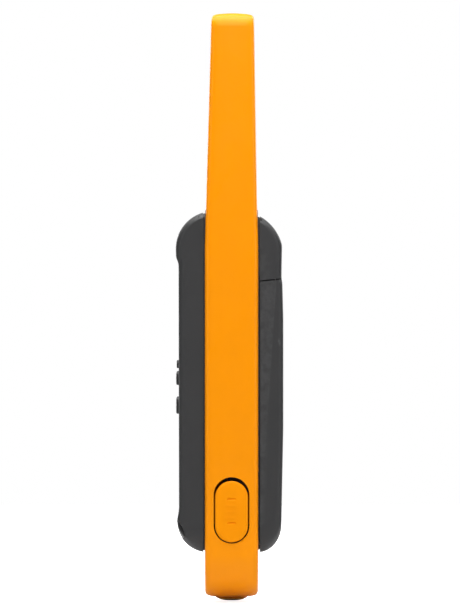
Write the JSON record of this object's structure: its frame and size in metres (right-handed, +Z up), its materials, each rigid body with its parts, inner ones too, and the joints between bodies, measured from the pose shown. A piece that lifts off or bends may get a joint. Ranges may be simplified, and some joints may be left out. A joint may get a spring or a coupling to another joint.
{
  "type": "two way radio",
  "caption": "Hand-held two way radio with a bright band round its body and antenna, dark front and rear shells, front keys and a torch in the chin.",
  "frame": {"origin": "middle of the torch lens that ends the chin, the lowest point of the upright radio", "axes": "+Z up along the body towards the tip of the antenna, -Y out of the front with the keys and display, +X towards the side that the antenna stands on"},
  "size_m": [0.0588, 0.0347, 0.19],
  "materials": {
    "band_plastic": "fine satin",
    "dark_plastic": "fine texture",
    "bezel_plastic": "satin",
    "clear_lens": "clear",
    "black_glass": "gloss",
    "black_rubber": "matt",
    "grey_rubber": "matt",
    "key_rubber": "satin",
    "band_rubber": "satin",
    "black_plastic": "satin",
    "white_plastic": "satin",
    "circuit_board": "solder mask",
    "display_glass": "polished",
    "speaker_cloth": "woven",
    "cone_paper": "matt",
    "ferrite": "ground",
    "bright_metal": "plated",
    "copper": "enamelled wire",
    "gold_plate": "plated",
    "phosphor": "satin",
    "cell_wrap": "printed film, left plain"
  },
  "bodies": {
    "radio": {"frame_band": "band_plastic", "antenna_radome": "dark_plastic", "antenna_former": "white_plastic", "antenna_coil": "copper", "antenna_contact": "gold_plate", "chin_housing": "dark_plastic", "torch_bezel": "bezel_plastic", "torch_lens": "clear_lens", "torch_reflector": "bright_metal", "torch_led": "phosphor", "front_shell": "dark_plastic", "display_lens": "black_glass", "status_lens": "clear_lens", "chin_insert": "black_glass", "speaker_mesh": "speaker_cloth", "speaker_gasket": "black_rubber", "speaker_frame": "bright_metal", "speaker_magnet": "ferrite", "microphone": "bright_metal", "microphone_boot": "black_rubber", "front_board": "circuit_board", "display_module": "display_glass", "key_domes": "bright_metal", "keypad_membrane": "grey_rubber", "main_board": "circuit_board", "shield_can": "bright_metal", "board_chips": "black_plastic", "board_link": "black_plastic", "ptt_switch": "black_plastic", "torch_switch": "black_plastic", "usb_socket": "bright_metal", "usb_tongue": "black_plastic", "usb_tether": "band_rubber", "jack_socket": "black_plastic", "jack_tether": "band_rubber", "rear_shell": "dark_plastic", "door_seal": "black_rubber", "battery_cell_1": "cell_wrap", "battery_cell_2": "cell_wrap", "battery_cell_3": "cell_wrap", "battery_springs": "bright_metal", "battery_plates": "bright_metal", "housing_screws": "bright_metal"},
    "speaker_cone": {"voice_coil": "copper", "speaker_cone": "cone_paper"},
    "ptt_button": {"ptt_button": "black_rubber"},
    "torch_button": {"torch_button": "black_rubber"},
    "usb_cover": {"usb_cover": "band_rubber"},
    "jack_cap": {"jack_cap": "band_rubber"},
    "battery_door": {"battery_door": "dark_plastic"},
    "battery_latch": {"battery_latch": "black_plastic"},
    "key_power": {"key_power": "key_rubber"},
    "key_menu": {"key_menu": "key_rubber"},
    "key_call": {"key_call": "key_rubber"},
    "key_down": {"key_down": "key_rubber"},
    "key_lock": {"key_lock": "key_rubber"},
    "key_up": {"key_up": "key_rubber"}
  },
  "joints": [
    {"name": "key_power_press", "type": "slide", "parent": "radio", "child": "key_power", "axis": [0, 1, 0], "range_m": [0, 0.0006], "stiffness_N_per_m": 2000, "springref_m": -0.0003},
    {"name": "key_menu_press", "type": "slide", "parent": "radio", "child": "key_menu", "axis": [0, 1, 0], "range_m": [0, 0.0006], "stiffness_N_per_m": 2000, "springref_m": -0.0003},
    {"name": "key_call_press", "type": "slide", "parent": "radio", "child": "key_call", "axis": [0, 1, 0], "range_m": [0, 0.0006], "stiffness_N_per_m": 2000, "springref_m": -0.0003},
    {"name": "key_down_press", "type": "slide", "parent": "radio", "child": "key_down", "axis": [0, 1, 0], "range_m": [0, 0.0006], "stiffness_N_per_m": 2000, "springref_m": -0.0003},
    {"name": "key_lock_press", "type": "slide", "parent": "radio", "child": "key_lock", "axis": [0, 1, 0], "range_m": [0, 0.0006], "stiffness_N_per_m": 2000, "springref_m": -0.0003},
    {"name": "key_up_press", "type": "slide", "parent": "radio", "child": "key_up", "axis": [0, 1, 0], "range_m": [0, 0.0006], "stiffness_N_per_m": 2000, "springref_m": -0.0003},
    {"name": "ptt_press", "type": "slide", "parent": "radio", "child": "ptt_button", "axis": [1, 0, 0], "range_m": [0, 0.0007], "stiffness_N_per_m": 3000, "springref_m": -0.0003},
    {"name": "torch_press", "type": "slide", "parent": "radio", "child": "torch_button", "axis": [1, 0, 0], "range_m": [0, 0.0007], "stiffness_N_per_m": 2500, "springref_m": -0.0003},
    {"name": "cone_travel", "type": "slide", "parent": "radio", "child": "speaker_cone", "axis": [0, 1, 0], "range_m": [-0.0002, 0.0002], "stiffness_N_per_m": 2000},
    {"name": "usb_cover_hinge", "type": "hinge", "parent": "radio", "child": "usb_cover", "pos_m": [0.0289, 0, 0.0194], "axis": [0, 1, 0], "range_deg": [0, 100], "stiffness_Nm_per_rad": 0.0004},
    {"name": "jack_cap_hinge", "type": "hinge", "parent": "radio", "child": "jack_cap", "pos_m": [-0.0146, 0.001, 0.1282], "axis": [0, -1, 0], "range_deg": [0, 110], "stiffness_Nm_per_rad": 0.0003},
    {"name": "battery_door_hinge", "type": "hinge", "parent": "radio", "child": "battery_door", "pos_m": [0, 0.0093, 0.0166], "axis": [-1, 0, 0], "range_deg": [0, 60]},
    {"name": "battery_latch_slide", "type": "slide", "parent": "battery_door", "child": "battery_latch", "axis": [0, 0, -1], "range_m": [0, 0.002]}
  ]
}
